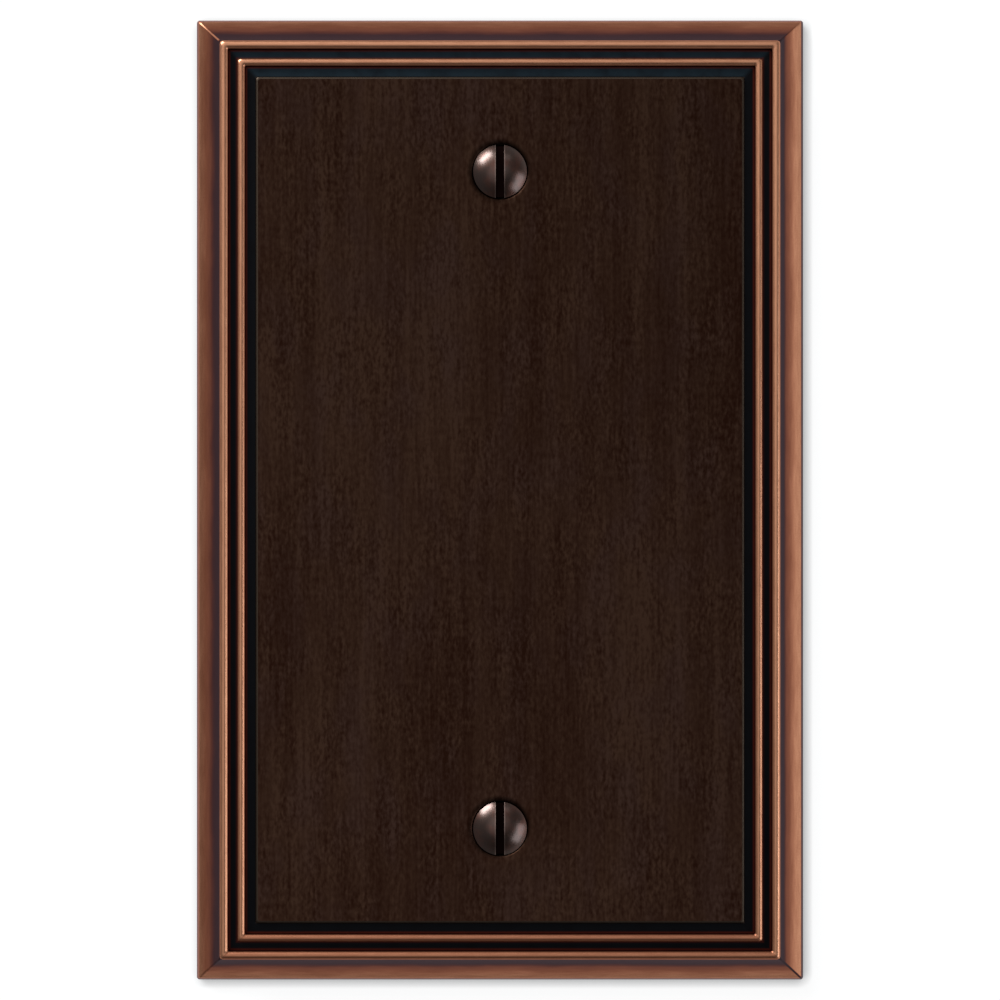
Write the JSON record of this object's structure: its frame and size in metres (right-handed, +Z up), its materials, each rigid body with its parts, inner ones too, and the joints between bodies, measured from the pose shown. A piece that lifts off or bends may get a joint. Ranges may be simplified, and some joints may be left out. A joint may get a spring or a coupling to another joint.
{
  "type": "wall plate cover",
  "caption": "Upright rectangular blank wall plate with a stepped, beaded border, a brushed panel and slotted oval-head screws, for closing an unused electrical wall box.",
  "frame": {"origin": "in the plane of the wall behind the plate, midway between the two screws", "axes": "+X to the right and +Z up as the plate is seen from the front, +Y into the wall"},
  "size_m": [0.078, 0.017, 0.1234],
  "materials": {
    "aged_bronze": "satin",
    "dark_bronze": "satin",
    "natural_nylon": "satin"
  },
  "bodies": {
    "plate": {"cover_plate": "aged_bronze"},
    "upper_washer": {"upper_washer": "natural_nylon"},
    "upper_screw": {"upper_screw": "dark_bronze"},
    "lower_washer": {"lower_washer": "natural_nylon"},
    "lower_screw": {"lower_screw": "dark_bronze"}
  },
  "joints": [
    {"name": "upper_screw_turn", "type": "hinge", "parent": "plate", "child": "upper_washer", "pos_m": [0, 0, 0.04167], "axis": [0, -1, 0], "range_deg": [0, 4410]},
    {"name": "upper_screw_travel", "type": "slide", "parent": "upper_washer", "child": "upper_screw", "axis": [0, -1, 0], "range_m": [0, 0.00972]},
    {"name": "lower_screw_turn", "type": "hinge", "parent": "plate", "child": "lower_washer", "pos_m": [0, 0, -0.04167], "axis": [0, -1, 0], "range_deg": [0, 4410]},
    {"name": "lower_screw_travel", "type": "slide", "parent": "lower_washer", "child": "lower_screw", "axis": [0, -1, 0], "range_m": [0, 0.00972]}
  ],
  "couplings": [
    {"joint": "upper_screw_turn", "follows": "upper_screw_travel", "rad_per_m": 7915.8},
    {"joint": "lower_screw_turn", "follows": "lower_screw_travel", "rad_per_m": 7915.8}
  ]
}
